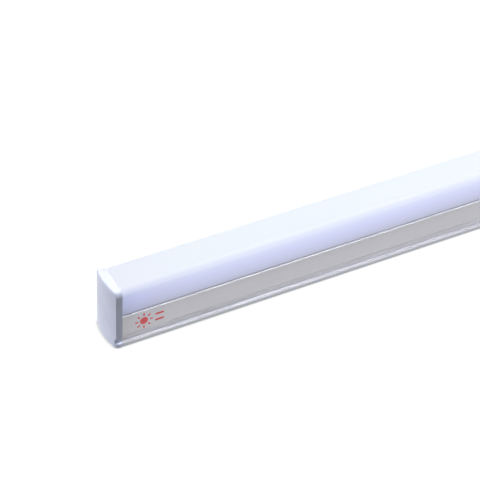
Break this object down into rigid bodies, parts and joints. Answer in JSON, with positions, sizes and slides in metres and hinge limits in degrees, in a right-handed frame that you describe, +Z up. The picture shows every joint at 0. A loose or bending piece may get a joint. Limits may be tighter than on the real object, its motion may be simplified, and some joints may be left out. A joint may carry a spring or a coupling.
{
  "type": "led light tube",
  "caption": "Square-section LED batten light: extruded aluminium body, snap-in opal diffuser, moulded end caps and a recessed three-pin inlet at one end.",
  "frame": {"origin": "on the underside of the base, at the middle of the length and the width", "axes": "+X along the tube from the plain end cap to the inlet end cap, +Z up from the base to the diffuser, -Y the side with the printed symbol"},
  "size_m": [0.573, 0.022, 0.036],
  "materials": {
    "body_aluminium": "satin anodised, fine lengthwise grain",
    "opal_diffuser": "milky, semi-gloss",
    "cap_plastic": "light grey, semi-gloss",
    "inlet_plastic": "black, fine texture",
    "pin_metal": "bright",
    "screw_steel": "zinc plated",
    "tinned_copper": "tinned",
    "board_white": "white solder mask on aluminium",
    "led_white": "white moulding",
    "led_phosphor": "yellow silicone",
    "connector_white": "white nylon",
    "board_green": "green solder mask",
    "film_black": "thin insulating film",
    "ceramic_tube": "plain",
    "varistor_blue": "dipped epoxy",
    "film_yellow": "moulded case",
    "ferrite": "dark grey sintered",
    "coil_copper": "enamelled copper",
    "component_black": "moulded epoxy",
    "can_sleeve": "shrink sleeve on an aluminium can",
    "former_plastic": "black phenolic",
    "tape_yellow": "polyester tape over enamelled wire",
    "resistor_black": "chip resistor",
    "wire_brown": "insulated wire",
    "wire_blue": "insulated wire",
    "wire_green_yellow": "insulated wire",
    "wire_red": "insulated wire",
    "wire_black": "insulated wire",
    "mark_ink": "red pad-printed ink"
  },
  "bodies": {
    "root": {"housing": "body_aluminium", "diffuser": "opal_diffuser", "near_end_cap": "cap_plastic", "far_end_cap": "cap_plastic", "inlet_insert": "inlet_plastic", "inlet_pins": "pin_metal", "end_cap_screws": "screw_steel", "led_board": "board_white", "led_packages": "led_white", "led_phosphor": "led_phosphor", "led_board_socket": "connector_white", "driver_board": "board_green", "driver_sleeve": "film_black", "input_fuse": "ceramic_tube", "varistor": "varistor_blue", "film_capacitor": "film_yellow", "filter_choke_core": "ferrite", "filter_choke_coil": "coil_copper", "bridge_rectifier": "component_black", "bulk_capacitor": "can_sleeve", "output_capacitor": "can_sleeve", "driver_chip": "component_black", "output_diode": "component_black", "transformer_core": "ferrite", "transformer_former": "former_plastic", "transformer_winding": "tape_yellow", "driver_resistors": "resistor_black", "live_wire": "wire_brown", "neutral_wire": "wire_blue", "earth_wire": "wire_green_yellow", "led_positive_wire": "wire_red", "led_negative_wire": "wire_black", "earth_screw": "screw_steel", "earth_lug": "tinned_copper", "earth_nut": "screw_steel", "printed_mark": "mark_ink"}
  },
  "joints": []
}
